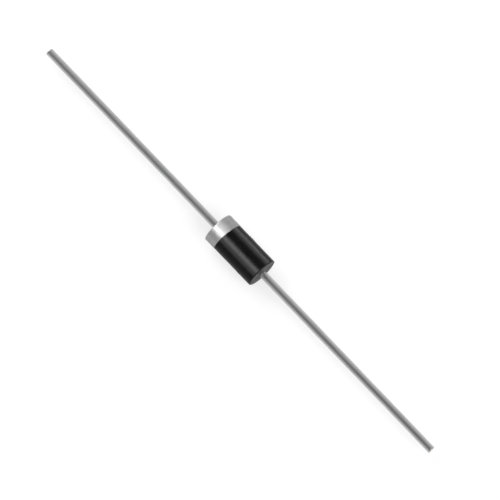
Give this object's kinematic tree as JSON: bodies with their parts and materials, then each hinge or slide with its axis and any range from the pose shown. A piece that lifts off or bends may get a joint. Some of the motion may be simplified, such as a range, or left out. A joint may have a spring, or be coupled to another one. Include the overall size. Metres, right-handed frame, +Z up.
{
  "type": "axial rectifier diode",
  "caption": "Axial-lead rectifier diode: black moulded cylindrical body with a silver cathode band and one straight tinned wire lead at each end.",
  "frame": {"origin": "centre of the moulded body, on the axis of the leads", "axes": "+X along the leads towards the anode end, -X towards the banded cathode end; +Z up, square to the plane on which the mould halves part"},
  "size_m": [0.0576, 0.0036, 0.0036],
  "materials": {
    "moulding_compound": "black epoxy moulding compound, satin, as it left the mould",
    "silver_ink": "printed silver ink, satin metallic",
    "tinned_copper": "drawn copper wire with a dull tin plating",
    "silicon": "lapped silicon with etched edges",
    "solder": "soft solder, dull",
    "silicone": "white silicone junction coating"
  },
  "bodies": {
    "root": {"epoxy_body": "moulding_compound", "cathode_band": "silver_ink", "cathode_lead": "tinned_copper", "anode_lead": "tinned_copper", "silicon_die": "silicon", "cathode_solder": "solder", "anode_solder": "solder", "junction_coating": "silicone"}
  },
  "joints": []
}
